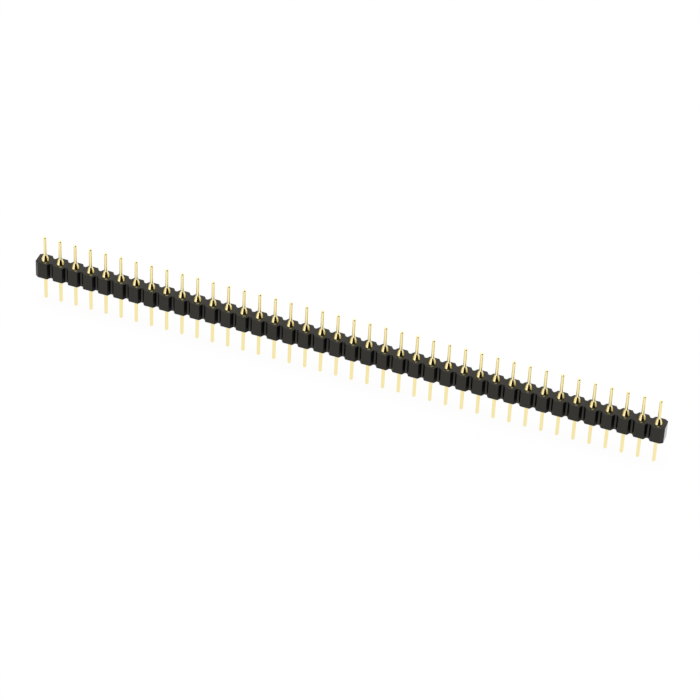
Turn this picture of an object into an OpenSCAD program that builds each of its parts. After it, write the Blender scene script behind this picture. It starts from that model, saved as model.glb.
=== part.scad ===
// Single-row strip of round turned pins pressed through a moulded insulator.
// The origin is the centre of the insulator's underside, the face that sits on the board.
// +X runs along the row and +Z points up the posts.

/* [Strip] */
// Number of pins in the row
positions = 40; // [2:1:50]
// Distance between neighbouring pins
pitch = 2.54; // [2.2:0.01:5.08]

/* [Insulator] */
// Height of the insulator
body_h = 2.95; // [2:0.05:6]
// Width of the insulator across the row
body_w = 2.45; // [1.8:0.05:4]
// Width of the flat face at the front and back of each cell
cell_face = 1.52; // [1.2:0.01:1.7]
// Length of the flat web at the bottom of each notch
web_len = 0.3; // [0.1:0.01:0.6]
// Depth of the notch between two cells, on each side
notch_depth = 0.52; // [0.1:0.01:0.7]
// Width of the flat face at each end of the strip
end_face = 1.76; // [1.2:0.01:1.8]
// Bevel along the long upper and lower edges
edge_bevel = 0.05; // [0.02:0.01:0.2]
// Bevel round the mouth of each pin hole
mouth_bevel = 0.03; // [0.02:0.01:0.12]

/* [Pin shoulder] */
// Diameter of the shoulder that the pin seats on
shoulder_d = 1.32; // [1.1:0.01:1.5]
// Depth of the shoulder's seat below the insulator's upper face
seat_depth = 0.5; // [0.2:0.05:1.2]
// Height of the shoulder's straight rim above the upper face
rim_h = 0.03; // [0.02:0.01:0.3]
// Height of the cone between the rim and the post
cone_h = 0.95; // [0.3:0.05:1.4]
// Gap all round between the shoulder and its seat
seat_gap = 0.02; // [0.01:0.01:0.1]

/* [Pin barrel] */
// Diameter of the barrel, which is a press fit in its bore
barrel_d = 1; // [0.8:0.01:1.05]
// Bevel at the barrel's lower end, which is flush with the underside
barrel_bevel = 0.1; // [0.02:0.01:0.15]
// Number of retaining barbs round the barrel
barbs = 2; // [0:1:3]
// Length of one barb along the pin
barb_len = 0.35; // [0.15:0.01:0.45]
// Depth of the step at the top of each barb
barb_step = 0.04; // [0.01:0.01:0.08]

/* [Pin ends] */
// Diameter of the upper post
post_d = 0.48; // [0.3:0.01:0.8]
// Length of the post above the insulator's upper face
post_len = 4.45; // [2.2:0.05:12]
// Length of the taper at the post's tip
tip_len = 0.18; // [0.05:0.01:0.4]
// Radius that the taper takes off the post's tip
tip_step = 0.08; // [0.02:0.01:0.14]
// Diameter of the lower tail
tail_d = 0.56; // [0.4:0.01:0.65]
// Length of the tail below the insulator's underside
tail_len = 4.8; // [1.5:0.05:15]

/* [Hidden] */
$fn = 48;

// Overlap that lets a cutting shape pass cleanly through a face
through = 1;

body_len = positions * pitch;
web_w = body_w - 2 * notch_depth;
cell_len = pitch - web_len;

post_r = post_d / 2;
tail_r = tail_d / 2;
barrel_r = barrel_d / 2;
shoulder_r = shoulder_d / 2;
seat_r = shoulder_r + seat_gap;

seat_z = body_h - seat_depth;
rim_z = body_h + rim_h;
neck_z = rim_z + cone_h;
post_z = body_h + post_len;
tail_z = -tail_len;

function pin_x(i) = (i - (positions + 1) / 2) * pitch;
function pin_name(i) = str("pin_", i < 10 ? "0" : "", i);

// Front edge of one cell, from its left notch to its right one
cell_edge = [
    [-cell_len / 2, -web_w / 2],
    [-cell_face / 2, -body_w / 2],
    [cell_face / 2, -body_w / 2],
    [cell_len / 2, -web_w / 2],
];

// Front edge of all the cells, laid side by side
row_edge = [for (i = [1:positions]) for (p = cell_edge) [pin_x(i) + p[0], p[1]]];

// Front edge of the whole strip, with a flat end in place of the notch at each end of the row
front_edge = concat(
    [[-body_len / 2, -end_face / 2]],
    [for (k = [1:len(row_edge) - 2]) row_edge[k]],
    [[body_len / 2, -end_face / 2]]
);

// The back edge is the front edge seen in a mirror, walked the other way
back_edge = [for (i = [len(front_edge) - 1:-1:0]) [front_edge[i][0], -front_edge[i][1]]];

// Plan of the strip: octagonal cells joined by narrow webs
module plan() {
    polygon(concat(front_edge, back_edge));
}

// Cross-section of the strip, bevelled along its four long edges
module cross_section() {
    side = body_w / 2;
    polygon([
        [-side + edge_bevel, 0],
        [side - edge_bevel, 0],
        [side, edge_bevel],
        [side, body_h - edge_bevel],
        [side - edge_bevel, body_h],
        [-side + edge_bevel, body_h],
        [-side, body_h - edge_bevel],
        [-side, edge_bevel],
    ]);
}

// Bar with the bevelled cross-section, laid along the row
module bevelled_bar() {
    rotate([90, 0, 90])
        linear_extrude(body_len + 2 * through, center = true)
            cross_section();
}

// Space for one pin: a press-fit bore, a seat for the shoulder and a bevelled mouth
module pin_hole() {
    translate([0, 0, -through])
        cylinder(r = barrel_r, h = seat_z + 2 * through);
    translate([0, 0, seat_z])
        cylinder(r = seat_r, h = seat_depth + through);
    translate([0, 0, body_h - mouth_bevel])
        cylinder(r1 = seat_r, r2 = seat_r + mouth_bevel, h = mouth_bevel);
    translate([0, 0, body_h])
        cylinder(r = seat_r + mouth_bevel, h = through);
}

module insulator() {
    color("#353431")
        difference() {
            intersection() {
                linear_extrude(body_h) plan();
                bevelled_bar();
            }
            for (i = [1:positions]) translate([pin_x(i), 0, 0]) pin_hole();
        }
}

// Barbs along the barrel: each widens upwards to the bore's size and then steps back in
barb_edge = [
    for (i = [0:1:barbs - 1])
        let (z = barrel_bevel + i * barb_len)
            each [[barrel_r, z + barb_len], [barrel_r - barb_step, z + barb_len]]
];

// Half of the pin's profile above the tail's round end, as radius and height
turned_edge = concat(
    [
        [0, tail_z + tail_r],
        [tail_r, tail_z + tail_r],
        [tail_r, 0],
        [barrel_r - barrel_bevel, 0],
        [barrel_r - barb_step, barrel_bevel],
    ],
    barb_edge,
    [
        [barrel_r, seat_z - barb_len],
        [barrel_r, seat_z],
        [shoulder_r, seat_z],
        [shoulder_r, rim_z],
        [post_r, neck_z],
        [post_r, post_z - tip_len],
        [post_r - tip_step, post_z],
        [0, post_z],
    ]
);

// Round end of the tail, kept to one side of the pin's axis
module tail_end() {
    intersection() {
        translate([0, tail_z + tail_r]) circle(r = tail_r);
        translate([0, tail_z]) square([tail_r, tail_d]);
    }
}

module pin(i) {
    color("#d9c06c")
        translate([pin_x(i), 0, 0])
            rotate_extrude() {
                polygon(turned_edge);
                tail_end();
            }
}

insulator();
for (i = [1:positions]) pin(i);
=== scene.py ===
# %% [markdown]
# # Round pin header strip
# A straight strip of turned, gold-plated pins pressed through a black moulded insulator. The solids come
# packed as a fixed frame, at their real size, in metres. This script dresses them: it remodels each piece
# with its fine edges, gives every surface its finish, and sets up a plain studio.

# %% Load the frame
import math

import bmesh
import bpy
from mathutils import Matrix, Vector


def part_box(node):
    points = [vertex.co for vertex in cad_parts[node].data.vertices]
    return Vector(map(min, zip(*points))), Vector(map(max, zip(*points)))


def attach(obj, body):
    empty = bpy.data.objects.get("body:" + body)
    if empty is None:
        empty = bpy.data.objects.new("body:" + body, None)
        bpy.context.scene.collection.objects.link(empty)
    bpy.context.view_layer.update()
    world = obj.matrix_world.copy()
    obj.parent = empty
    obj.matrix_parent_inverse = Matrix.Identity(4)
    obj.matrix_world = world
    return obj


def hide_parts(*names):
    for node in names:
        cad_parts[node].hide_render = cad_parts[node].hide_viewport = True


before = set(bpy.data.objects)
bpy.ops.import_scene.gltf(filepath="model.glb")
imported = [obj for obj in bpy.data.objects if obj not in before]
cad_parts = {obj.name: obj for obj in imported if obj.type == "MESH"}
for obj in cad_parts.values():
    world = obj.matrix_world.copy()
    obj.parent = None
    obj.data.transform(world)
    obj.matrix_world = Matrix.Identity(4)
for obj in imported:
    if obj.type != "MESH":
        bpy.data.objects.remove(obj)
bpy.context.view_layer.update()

# %% [markdown]
# ## Units and small helpers
# Everything below is written in millimetres, as on a drawing, and turned into the scene's metres by one
# factor. Colours are written as the hex values a screen shows, but a shader works in linear light, so one
# function converts them. A second function adds a shader node with its settings and links in one call.

# %% Helpers
MM = 0.001
QUARTER_TURN = math.radians(90)
scene = bpy.context.scene


def linear(hex_colour):
    """Turn an sRGB hex colour into the linear RGBA that a shader socket takes."""
    parts = [int(hex_colour[i:i + 2], 16) / 255 for i in (1, 3, 5)]
    rgb = [c / 12.92 if c <= 0.04045 else ((c + 0.055) / 1.055) ** 2.4 for c in parts]
    return (*rgb, 1.0)


def add_node(tree, kind, links=(), settings=(), **values):
    """Add a node, set its properties and input values, and link its inputs to other nodes' outputs."""
    node = tree.nodes.new(kind)
    for name, value in dict(settings).items():
        setattr(node, name, value)
    for name, value in values.items():
        node.inputs[name.replace("_", " ")].default_value = value
    for name, source in dict(links).items():
        tree.links.new(source, node.inputs[name])
    return node


def new_material(name):
    """Make an empty material and return it with its tree and its output node."""
    material = bpy.data.materials.new(name)
    material.use_nodes = True
    tree = material.node_tree
    tree.nodes.clear()
    return material, tree, tree.nodes.new("ShaderNodeOutputMaterial")


print("helpers ready")

# %% [markdown]
# ## Sizes
# The frame gives the overall sizes, so the dressed pieces can't drift away from the solids. The sizes
# that a box doesn't show, such as a notch or a bevel, are written here once, in millimetres.

# %% Sizes
pin_names = sorted(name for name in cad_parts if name.startswith("pin_"))
body_lo, body_hi = (Vector(v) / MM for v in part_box("insulator"))
first_lo, first_hi = (Vector(v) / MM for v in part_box(pin_names[0]))
last_lo, last_hi = (Vector(v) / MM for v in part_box(pin_names[-1]))

first_x = (first_lo.x + first_hi.x) / 2
last_x = (last_lo.x + last_hi.x) / 2
pitch = (last_x - first_x) / (len(pin_names) - 1)
body_h = body_hi.z
body_w = body_hi.y - body_lo.y
tail_z = first_lo.z
post_z = first_hi.z
shoulder_r = (first_hi.y - first_lo.y) / 2

cell_face = 1.52        # flat front of one cell
web_len = 0.3           # flat web between two cells
notch_depth = 0.52
end_face = 1.76         # width of the flat face at each end of the strip
edge_r = 0.05           # rounded edges of the moulding
mouth_r = 0.03          # rounded mouth of each pin hole
seat_gap = 0.02         # clearance round the shoulder
seat_depth = 0.5
barrel_r = 0.5
print("pitch", round(pitch, 3), "height", round(body_h, 2), "width", round(body_w, 2), "mm")

# %% [markdown]
# ## The insulator: one cell first
# The real insulator is one moulded bar, but its shape repeats, so each cell is modelled alone. Its plan
# is put together from quarters: a quarter runs from the flat face to half a web, or to the strip's flat
# end. The plan becomes one face, which is extruded upwards. Where the next cell joins, the side is
# opened, and every other edge is bevelled in three segments: a mould can't make a dead sharp edge, and
# it's the small rounding that catches the light. An alternative is to cut and drill the whole outline
# with Boolean modifiers, but their messy faces bevel badly.

# %% Outline of a cell, extruded and rounded
END, FLANK = 1, 2       # material slots of the strip's end faces and of the slanted flanks
SQUARE = 0.99           # a face whose normal has this share along an axis is square to it
SLANTED = 0.3           # a face whose normal has this share along both X and Y is a slanted flank


def quarter(is_end):
    """Corners of a quarter of a cell's plan, from its flat face outwards."""
    half, side = pitch / 2, body_w / 2
    if is_end:
        return [(cell_face / 2, side), (half, end_face / 2)]
    web = side - notch_depth
    return [(cell_face / 2, side), (half - web_len / 2, web), (half, web)]


def cell_block(starts, ends):
    """A cell as a block in millimetres, centred on its pin and open where a neighbour joins it."""
    left, right = quarter(starts), quarter(ends)
    outline = [(x, -y) for x, y in right] + right[::-1] + [(-x, y) for x, y in left]
    outline += [(-x, -y) for x, y in left[::-1]]

    bm = bmesh.new()
    base = bm.faces.new([bm.verts.new((x, y, 0)) for x, y in outline])
    risen = bmesh.ops.extrude_face_region(bm, geom=[base], use_keep_orig=True)["geom"]
    lifted = [v for v in risen if isinstance(v, bmesh.types.BMVert)]
    bmesh.ops.translate(bm, verts=lifted, vec=(0, 0, body_h))
    bmesh.ops.recalc_face_normals(bm, faces=bm.faces)

    joins = []
    for f in bm.faces:
        outermost = ends if f.normal.x > 0 else starts
        # a slanted flank inside a notch takes the darker skin, which paints the notch's shade; at the ends
        # it stays plain
        if min(abs(f.normal.x), abs(f.normal.y)) > SLANTED and not outermost:
            f.material_index = FLANK
        elif abs(f.normal.x) > SQUARE and outermost:
            f.material_index = END
        elif abs(f.normal.x) > SQUARE:
            joins.append(f)
    bmesh.ops.delete(bm, geom=joins, context="FACES_ONLY")
    edges = [e for e in bm.edges if not e.is_boundary]
    bmesh.ops.bevel(bm, geom=edges, offset=edge_r, offset_type="OFFSET", segments=3, profile=0.5,
                    affect="EDGES", material=-1, clamp_overlap=True)
    return bm


sample = cell_block(False, False)
print("cell block:", len(sample.faces), "faces")
sample.free()

# %% [markdown]
# ## The pin hole
# Each cell has a stepped hole: a wide seat for the pin's shoulder at the top and a narrower bore below
# it, where the barrel is pressed in. The top face is taken out and bridged to a circle, and that circle
# is then extruded down the hole ring by ring. A bridge copes with loops that have different numbers of
# points.

# %% Open the cell and run rings down its hole
ROUND = 48              # points round a circle


def flat_face(bm, up):
    """The large face that points up (1) or down (-1)."""
    return max((f for f in bm.faces if f.normal.z * up > SQUARE), key=lambda f: f.calc_area())


def extrude_ring(bm, edges, radius, height):
    """Extrude a ring of edges into a new ring of the given radius and height, and return its edges."""
    grown = bmesh.ops.extrude_edge_only(bm, edges=edges)["geom"]
    for v in (g for g in grown if isinstance(g, bmesh.types.BMVert)):
        v.co = Vector((v.co.x, v.co.y, 0)).normalized() * radius + Vector((0, 0, height))
    return [g for g in grown if isinstance(g, bmesh.types.BMEdge) and len(g.link_faces) == 1]


def drill(bm):
    """Cut the stepped pin hole through a cell."""
    top, bottom = flat_face(bm, 1), flat_face(bm, -1)
    top_edges, bottom_edges = list(top.edges), list(bottom.edges)
    bmesh.ops.delete(bm, geom=[top, bottom], context="FACES_ONLY")

    seat_r = shoulder_r + seat_gap
    mouth = bmesh.ops.create_circle(bm, segments=ROUND, radius=seat_r + mouth_r,
                                    matrix=Matrix.Translation((0, 0, body_h)))["verts"]
    ring = list(dict.fromkeys(e for v in mouth for e in v.link_edges))      # each edge once, in order
    bmesh.ops.bridge_loops(bm, edges=top_edges + ring)

    for turn in (30, 60, 90):
        angle = math.radians(turn)
        spread, drop = mouth_r * (1 - math.sin(angle)), mouth_r * (1 - math.cos(angle))
        ring = extrude_ring(bm, ring, seat_r + spread, body_h - drop)
    ring = extrude_ring(bm, ring, seat_r, body_h - seat_depth)
    ring = extrude_ring(bm, ring, barrel_r, body_h - seat_depth)
    ring = extrude_ring(bm, ring, barrel_r, 0)
    bmesh.ops.bridge_loops(bm, edges=bottom_edges + ring)


print("the hole has", ROUND, "sides")

# %% [markdown]
# ## The whole bar
# A cell is made and drilled for every position of the row, and all of them are gathered in one mesh.
# Merging the doubled points between neighbours turns 40 open blocks into one watertight moulding. Edges
# sharper than 40 degrees are marked sharp, so smooth shading doesn't smear across them.

# %% Gather the cells and weld them
SHARP = math.radians(40)
WELD = 0.0005           # mm, points closer than this are one


def finish_mesh(name, bm):
    """Turn a bmesh in millimetres into an object in metres at the origin, with outward normals."""
    bmesh.ops.remove_doubles(bm, verts=bm.verts, dist=WELD)
    bmesh.ops.recalc_face_normals(bm, faces=bm.faces)
    bmesh.ops.scale(bm, verts=bm.verts, vec=(MM, MM, MM))
    for f in bm.faces:
        f.smooth = True
    for e in bm.edges:
        e.smooth = e.calc_face_angle(0) < SHARP
    mesh = bpy.data.meshes.new(name)
    bm.to_mesh(mesh)
    bm.free()
    obj = bpy.data.objects.new(name, mesh)
    scene.collection.objects.link(obj)
    return obj


row = bmesh.new()
for i in range(len(pin_names)):
    cell = cell_block(i == 0, i == len(pin_names) - 1)
    drill(cell)
    bmesh.ops.translate(cell, verts=cell.verts, vec=(first_x + i * pitch, 0, 0))
    mesh = bpy.data.meshes.new("cell")
    cell.to_mesh(mesh)
    row.from_mesh(mesh)
    cell.free()
    bpy.data.meshes.remove(mesh)
insulator = finish_mesh("moulded_insulator", row)
print("insulator:", len(insulator.data.polygons), "faces")

# %% [markdown]
# ## The pins
# A turned pin is a solid of revolution, so it is modelled the way a lathe makes it: half of its profile,
# as a few corner points, spun once round the axis. The corners that a tool leaves rounded are bevelled as
# vertices before the spin. Each pin is a separate piece, because on the bench each one presses out.

# %% Profile of a pin
post_r, tail_r = 0.24, 0.28
tip_len, tip_step = 0.18, 0.08
barb_step, barb_len, barrel_bevel = 0.04, 0.35, 0.1
rim_h, cone_h = 0.03, 0.95
seat_z = body_h - seat_depth
rim_z = body_h + rim_h
neck_z = rim_z + cone_h

# radius, height, and how far a tool rounds that corner
pin_corners = [
    (0, tail_z, 0),
    (tail_r, tail_z, 0.27),
    (tail_r, 0, 0),
    (barrel_r - barrel_bevel, 0, 0),
    (barrel_r - barb_step, barrel_bevel, 0),
    (barrel_r, barrel_bevel + barb_len, 0),
    (barrel_r - barb_step, barrel_bevel + barb_len, 0),
    (barrel_r, barrel_bevel + 2 * barb_len, 0),
    (barrel_r - barb_step, barrel_bevel + 2 * barb_len, 0),
    (barrel_r, seat_z - barb_len, 0),
    (barrel_r, seat_z, 0),
    (shoulder_r, seat_z, 0.02),
    (shoulder_r, rim_z, 0.03),
    (post_r, neck_z, 0.06),
    (post_r, post_z - tip_len, 0.02),
    (post_r - tip_step, post_z, 0.02),
    (0, post_z, 0),
]
print("pin profile:", len(pin_corners), "corners")

# %% Spin the pins
def turned_pin(name, x):
    """One pin, spun from its profile and set down at its place in the row."""
    bm = bmesh.new()
    verts = [bm.verts.new((r, 0, z)) for r, z, _ in pin_corners]
    for a, b in zip(verts, verts[1:]):
        bm.edges.new((a, b))
    for v, (_, _, rounding) in zip(verts, pin_corners):
        if rounding:
            bmesh.ops.bevel(bm, geom=[v], offset=rounding, offset_type="OFFSET", segments=5,
                            profile=0.5, affect="VERTICES", material=-1)
    bmesh.ops.spin(bm, geom=bm.verts[:] + bm.edges[:], cent=(0, 0, 0), axis=(0, 0, 1),
                   angle=math.tau, steps=ROUND, use_merge=True, use_duplicate=False)
    bmesh.ops.translate(bm, verts=bm.verts, vec=(x, 0, 0))
    return finish_mesh(name, bm)


pins = {}
for i, name in enumerate(pin_names):
    pins[name] = turned_pin(f"turned_{name}", first_x + i * pitch)
print("pins:", len(pins), "of", len(pins[name].data.polygons), "faces each")

# %% [markdown]
# ## Shading of small bevels
# Smooth shading blends the normals of a large flat face into the small rounding beside it, so the flat
# face would look bowed. The Weighted Normal modifier lets the large face win, which keeps it flat and
# gives the whole change of direction to the bevel.

# %% Weighted normals
for obj in (insulator, *pins.values()):
    weighted = obj.modifiers.new("flat faces win", "WEIGHTED_NORMAL")
    weighted.keep_sharp = True
    weighted.weight = 100
print("weighted normals on", 1 + len(pins), "pieces")

# %% [markdown]
# ## Black moulded thermoplastic
# The insulator is a glass-filled polyester, moulded in a polished tool: almost black, slightly warm, with
# a sheen that mirrors the gold and the floor softly. A pattern can read Object coordinates here, because
# every piece has its place in its mesh. They come in metres, so they are first turned into millimetres,
# and the scale of each pattern is then simply one over its size.

# %% Plastic
SKIN = 0.35             # mm between the tiny waves of the skin; the real glass fibre is finer than a pixel
CLOUD = 3.0             # mm, size of the faint changes of sheen left by the flow of the plastic


def object_mm(tree):
    """Object coordinates in millimetres."""
    coordinates = add_node(tree, "ShaderNodeTexCoord")
    scaled = add_node(tree, "ShaderNodeVectorMath", links={0: coordinates.outputs["Object"]},
                      settings={"operation": "SCALE"}, Scale=1 / MM)
    return scaled.outputs["Vector"]


def moulded_plastic():
    """Glass-filled polyester, injection moulded: near black, with a calm satin sheen."""
    material, tree, output = new_material("glass_filled_polyester_moulded_black")
    place = object_mm(tree)
    cloud = add_node(tree, "ShaderNodeTexNoise", links={"Vector": place}, Scale=1 / CLOUD, Detail=2.0)
    skin = add_node(tree, "ShaderNodeTexNoise", links={"Vector": place}, Scale=1 / SKIN, Detail=3.0)
    tone = add_node(tree, "ShaderNodeMix", links={"Factor": cloud.outputs["Fac"]},
                    settings={"data_type": "RGBA"})
    tone.inputs["A"].default_value = linear("#050505")
    tone.inputs["B"].default_value = linear("#070706")
    sheen = add_node(tree, "ShaderNodeMapRange", links={"Value": cloud.outputs["Fac"]},
                     To_Min=0.16, To_Max=0.26)
    bump = add_node(tree, "ShaderNodeBump", links={"Height": skin.outputs["Fac"]},
                    Strength=0.15, Distance=0.01 * MM)
    shader = add_node(tree, "ShaderNodeBsdfPrincipled", Specular_IOR_Level=0.37,
                      Specular_Tint=linear("#fffae6"),
                      links={"Base Color": tone.outputs["Result"], "Roughness": sheen.outputs["Result"],
                             "Normal": bump.outputs["Normal"]})
    tree.links.new(shader.outputs[0], output.inputs["Surface"])
    return material


plastic = moulded_plastic()
print("material:", plastic.name)

# %% [markdown]
# ## Two more skins of the same plastic
# A mould isn't finished alike all over, and the plastic copies each skin. The flat ends come from a
# polished face: black when looked at head on, and a pale mirror at a glancing angle. A second, clear
# layer, the shader's coat, gives that sharper mirror. The slanted flanks in the notches get a matt
# grain, and a darker colour with a weaker sheen: that blackness is painted shade, for the shade deep
# between the cells. One material with a mask could hold all three skins, but separate materials on
# separate faces are simpler to read and to change.

# %% Flat ends
WAVE = 0.5              # mm, length of the slight waviness of the end faces


def polished_plastic():
    """Glass-filled polyester from a polished mould face: black head on, bright at a glancing angle."""
    material, tree, output = new_material("glass_filled_polyester_polished_black")
    wave = add_node(tree, "ShaderNodeTexNoise", links={"Vector": object_mm(tree)},
                    Scale=1 / WAVE, Detail=1.0)
    bump = add_node(tree, "ShaderNodeBump", links={"Height": wave.outputs["Fac"]},
                    Strength=0.2, Distance=0.02 * MM)
    shader = add_node(tree, "ShaderNodeBsdfPrincipled", Base_Color=linear("#070706"), Roughness=0.12,
                      Coat_Weight=0.4, Coat_Roughness=0.12,
                      links={"Normal": bump.outputs["Normal"], "Coat Normal": bump.outputs["Normal"]})
    tree.links.new(shader.outputs[0], output.inputs["Surface"])
    return material


polished = polished_plastic()
print("material:", polished.name)

# %% Slanted flanks
GRAIN = 0.06            # mm, grain of the eroded mould faces; drawn a little coarser than the real one


def notch_shade_plastic():
    """Flanks in the notches: a matt grain, and painted shade as a darker colour and weaker sheen."""
    material, tree, output = new_material("glass_filled_polyester_black_painted_notch_shade")
    grain = add_node(tree, "ShaderNodeTexNoise", links={"Vector": object_mm(tree)},
                     Scale=1 / GRAIN, Detail=2.0)
    bump = add_node(tree, "ShaderNodeBump", links={"Height": grain.outputs["Fac"]},
                    Strength=0.3, Distance=0.005 * MM)
    # the near-black colour and the low specular level are painted shade for the notches
    shader = add_node(tree, "ShaderNodeBsdfPrincipled", Base_Color=linear("#020202"), Roughness=0.4,
                      Specular_IOR_Level=0.12, links={"Normal": bump.outputs["Normal"]})
    tree.links.new(shader.outputs[0], output.inputs["Surface"])
    return material


notch_shade_skin = notch_shade_plastic()
print("material:", notch_shade_skin.name)

# %% [markdown]
# ## Gold plating
# The pins are turned brass with a thin hard gold plating. A metal gets its whole colour from what it
# mirrors, so the base colour is the tint of the mirror and the roughness how sharp it is. The lathe
# leaves rings round the pin: they are far finer than a pixel, so they are drawn coarser and kept very
# shallow.

# %% Gold plating
RING = 0.22             # mm between the turning rings; the real feed is about a tenth of that
BATCH = 9.0             # mm along the row over which the tint of the plating drifts
WAVE_RATE = 20          # radians that a wave texture runs through for each unit of its scale


def plated_gold():
    """Hard gold on turned brass: a pale yellow mirror with faint rings round the pin."""
    material, tree, output = new_material("hard_gold_plated_brass_turned")
    place = object_mm(tree)
    drift = add_node(tree, "ShaderNodeTexNoise", links={"Vector": place}, Scale=1 / BATCH, Detail=1.0)
    tone = add_node(tree, "ShaderNodeMix", links={"Factor": drift.outputs["Fac"]},
                    settings={"data_type": "RGBA"})
    tone.inputs["A"].default_value = linear("#f6e4a6")
    tone.inputs["B"].default_value = linear("#faecb3")
    rings = add_node(tree, "ShaderNodeTexWave", links={"Vector": place}, Scale=math.tau / (WAVE_RATE * RING),
                     settings={"wave_type": "BANDS", "bands_direction": "Z", "wave_profile": "SIN"},
                     Distortion=0.4, Detail=1.0)
    bump = add_node(tree, "ShaderNodeBump", links={"Height": rings.outputs["Fac"]},
                    Strength=0.03, Distance=0.01 * MM)
    shader = add_node(tree, "ShaderNodeBsdfPrincipled", Metallic=1.0, Roughness=0.09,
                      links={"Base Color": tone.outputs["Result"], "Normal": bump.outputs["Normal"]})
    tree.links.new(shader.outputs[0], output.inputs["Surface"])
    return material


gold = plated_gold()
print("material:", gold.name)

# %% [markdown]
# ## Put the dressed pieces in the frame
# Each piece rides on the frame's only body and stands for the solid of the same part, which is then
# hidden.

# %% Ride, replace and finish
for skin in (plastic, polished, notch_shade_skin):      # in the order of the slots that END and FLANK name
    insulator.data.materials.append(skin)
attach(insulator, "root")
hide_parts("insulator")
for name, pin in pins.items():
    pin.data.materials.append(gold)
    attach(pin, "root")
    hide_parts(name)
print("dressed pieces:", 1 + len(pins))

# %% [markdown]
# ## Floor
# The strip stands on a white floor. Lighting a floor until it is white would burn out the object too, so
# the floor glows instead, at exactly 1, which is white, and only for rays from the camera and from
# reflections. A small share of it stays plain paper, which still shows the strip's shade. To the soft
# light that falls on the object, all of it is plain paper.

# %% Floor
FLOOR_REACH = 2.8       # m from the middle of the floor to each corner
GLOW_SHARE = 0.95       # share of the floor that glows; the rest is paper


def backdrop_light(tree):
    """1 for rays from the camera, a reflection or a clear piece, and 0 for light that falls on things."""
    path = add_node(tree, "ShaderNodeLightPath")
    seen = add_node(tree, "ShaderNodeMath", settings={"operation": "MAXIMUM"},
                    links={0: path.outputs["Is Camera Ray"], 1: path.outputs["Is Glossy Ray"]})
    either = add_node(tree, "ShaderNodeMath", settings={"operation": "MAXIMUM"},
                      links={0: seen.outputs[0], 1: path.outputs["Is Transmission Ray"]})
    return either.outputs[0]


def floor_material():
    """White sweep: it glows for the camera, less a small share that still shows the shadow."""
    material, tree, output = new_material("white_studio_sweep")
    paper = add_node(tree, "ShaderNodeBsdfDiffuse", Color=linear("#f2f2f2"))
    glow = add_node(tree, "ShaderNodeEmission", Color=linear("#ffffff"), Strength=1.0)
    share = add_node(tree, "ShaderNodeMath", links={0: backdrop_light(tree)},
                     settings={"operation": "MULTIPLY"})
    share.inputs[1].default_value = GLOW_SHARE
    mix = add_node(tree, "ShaderNodeMixShader",
                   links={0: share.outputs[0], 1: paper.outputs[0], 2: glow.outputs[0]})
    tree.links.new(mix.outputs[0], output.inputs["Surface"])
    return material


def flat_card(name, corners, matrix, material):
    """A flat piece of the studio, from a 1 m circle of few corners that the matrix sizes and places."""
    bm = bmesh.new()
    bmesh.ops.create_circle(bm, cap_ends=True, segments=corners, radius=1.0, matrix=matrix)
    mesh = bpy.data.meshes.new(name)
    bm.to_mesh(mesh)
    bm.free()
    card = bpy.data.objects.new(name, mesh)
    card.data.materials.append(material)
    scene.collection.objects.link(card)
    return card


under_tails = Matrix.Translation((0, 0, tail_z * MM))
flat_card("studio_floor", 4, under_tails @ Matrix.Scale(FLOOR_REACH, 4), floor_material())
print("floor at", round(tail_z, 2), "mm")

# %% [markdown]
# ## Where the camera will stand
# The lights and cards stand round the object at bearings that are set against the camera's, so its
# bearing is written first. A bearing is a turn to the right from square on, and a rise above level.

# %% Camera angle
target = Vector((0.838, 0, 1.062)) * MM     # the point that the camera looks at
azimuth = math.radians(17.836)              # to the right of square on
elevation = math.radians(41.265)
roll = math.radians(2.99)
distance = 528.96 * MM
lens = 178.76                               # mm, on a sensor 36 mm wide


def bearing(turn, rise):
    """Direction away from the object, from a turn to the right and a rise, both in radians."""
    return Vector((math.sin(turn) * math.cos(rise), -math.cos(turn) * math.cos(rise), math.sin(rise)))


print("camera", round(distance, 3), "m away")

# %% [markdown]
# ## Sky and softboxes
# The sky is white to the camera and in reflections, and softer as a light, so the object isn't washed
# out. A strong softbox hangs overhead, and two weak ones fill in from the left and from behind. Point
# lamps would be simpler, but a softbox leaves a soft edge in the gold, as in a real studio.

# %% Sky
SKY_LIGHT = 0.7         # strength of the sky as a light, where 1 is white


def sky():
    """White to the camera and to reflections, a little softer as a light."""
    world = scene.world or bpy.data.worlds.new("studio")
    scene.world = world
    world.use_nodes = True
    tree = world.node_tree
    tree.nodes.clear()
    level = add_node(tree, "ShaderNodeMapRange", links={"Value": backdrop_light(tree)},
                     To_Min=SKY_LIGHT, To_Max=1.0)
    background = add_node(tree, "ShaderNodeBackground", Color=linear("#ffffff"),
                          links={"Strength": level.outputs["Result"]})
    add_node(tree, "ShaderNodeOutputWorld", links={"Surface": background.outputs[0]})


sky()
print("sky as a light:", SKY_LIGHT)

# %% Softboxes
def softbox(name, turn, rise, width, height, away, power):
    """A rectangular softbox that faces the object, with its sizes in metres and its power in watts."""
    lamp = bpy.data.lights.new(name, "AREA")
    lamp.shape = "RECTANGLE"
    lamp.size, lamp.size_y = width, height
    lamp.energy = power
    obj = bpy.data.objects.new(name, lamp)
    facing = Matrix.Rotation(turn, 4, "Z") @ Matrix.Rotation(QUARTER_TURN - rise, 4, "X")
    obj.matrix_world = Matrix.Translation(bearing(turn, rise) * away) @ facing
    scene.collection.objects.link(obj)


softbox("overhead_softbox", 0, QUARTER_TURN, 0.5, 0.5, away=1.0, power=5.0)
softbox("left_softbox", azimuth - math.radians(52), math.radians(8), 0.95, 0.3, away=1.0, power=0.3)
softbox("rear_softbox", azimuth + math.pi, elevation, 0.9, 0.9, away=1.2, power=0.76)

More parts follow.
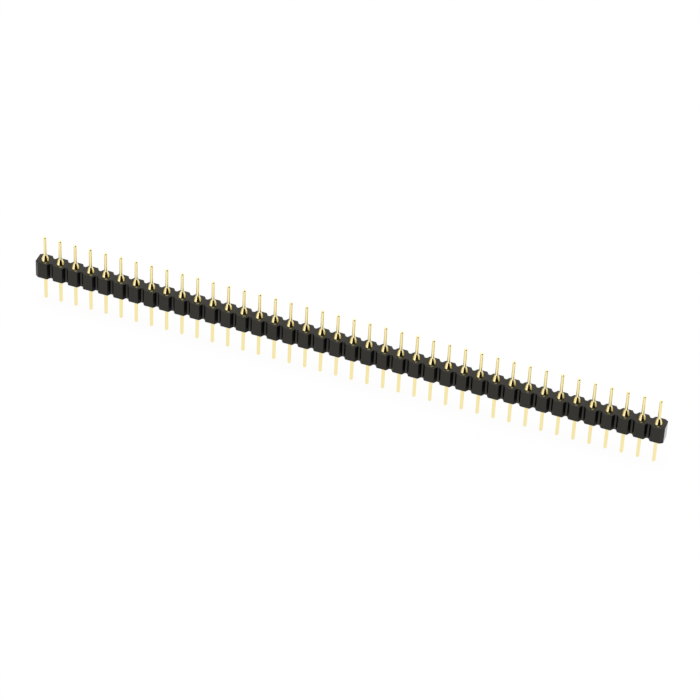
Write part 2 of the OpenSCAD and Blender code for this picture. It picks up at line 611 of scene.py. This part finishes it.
# %% [markdown]
# ## Dark cards
# Mirror-like metal needs something dark to reflect, or it looks flat. So one black card stands on the
# camera's side and a black triangle lies on the floor before it, and each cone shows them as one dark
# streak down its front. Both are seen in reflections only: they cast no shade, and the camera looks
# through them. Painting the streak on the gold would be simpler, but it would stay put as the view turns.

# %% Dark cards
LIFT = 0.1              # mm from the floor to the cards


def dark_cards(turn, away, width, height, tip):
    """A black card that stands on the floor, and a black triangle before it, its tip near the object."""
    material, tree, output = new_material("brown_black_felt_card")
    felt = add_node(tree, "ShaderNodeBsdfDiffuse", Color=linear("#1d1a14"))
    tree.links.new(felt.outputs[0], output.inputs["Surface"])
    ground = Vector((0, 0, (tail_z + LIFT) * MM))
    facing = Matrix.Rotation(turn, 4, "Z")
    unit_square = Matrix.Rotation(QUARTER_TURN / 2, 4, "Z") @ Matrix.Scale(math.sqrt(0.5), 4)
    middle = bearing(turn, 0) * away + ground + Vector((0, 0, height / 2))
    standing = (Matrix.Translation(middle) @ facing @ Matrix.Rotation(QUARTER_TURN, 4, "X")
                @ Matrix.Diagonal((width, height, 1, 1)) @ unit_square)
    reach = (away - tip) / 1.5      # an even triangle is 1.5 radii deep and the root of 3 radii wide
    lying = (Matrix.Translation(bearing(turn, 0) * (tip + reach) + ground) @ facing
             @ Matrix.Diagonal((width / math.sqrt(3), reach, 1, 1)))
    for name, corners, matrix in (("standing_card", 4, standing), ("lying_card", 3, lying)):
        card = flat_card(name, corners, matrix, material)
        card.visible_camera = False
        card.visible_diffuse = False
        card.visible_shadow = False


dark_cards(azimuth + math.radians(22), away=0.9, width=1.95, height=0.42, tip=0.06)

# %% [markdown]
# ## Camera
# A long lens far from the object keeps the row almost free of perspective. The camera is placed by its
# own three axes: backwards, right and up, with a small roll about the line of sight. A Track To
# constraint could aim it too, but it would keep the picture level and lose the roll.

# %% Camera
camera = bpy.data.cameras.new("camera")
camera.lens = lens
camera.sensor_width = 36
camera.clip_start = 0.05
back = bearing(azimuth, elevation)
right = Vector((math.cos(azimuth), math.sin(azimuth), 0))
up = back.cross(right)
rolled_right = right * math.cos(roll) + up * math.sin(roll)
rolled_up = up * math.cos(roll) - right * math.sin(roll)
axes = Matrix((rolled_right, rolled_up, back)).transposed().to_4x4()
eye = bpy.data.objects.new("camera", camera)
eye.matrix_world = Matrix.Translation(target + back * distance) @ axes
scene.collection.objects.link(eye)
scene.camera = eye
scene.view_settings.view_transform = "Standard"
print("camera at", [round(v, 3) for v in eye.location])
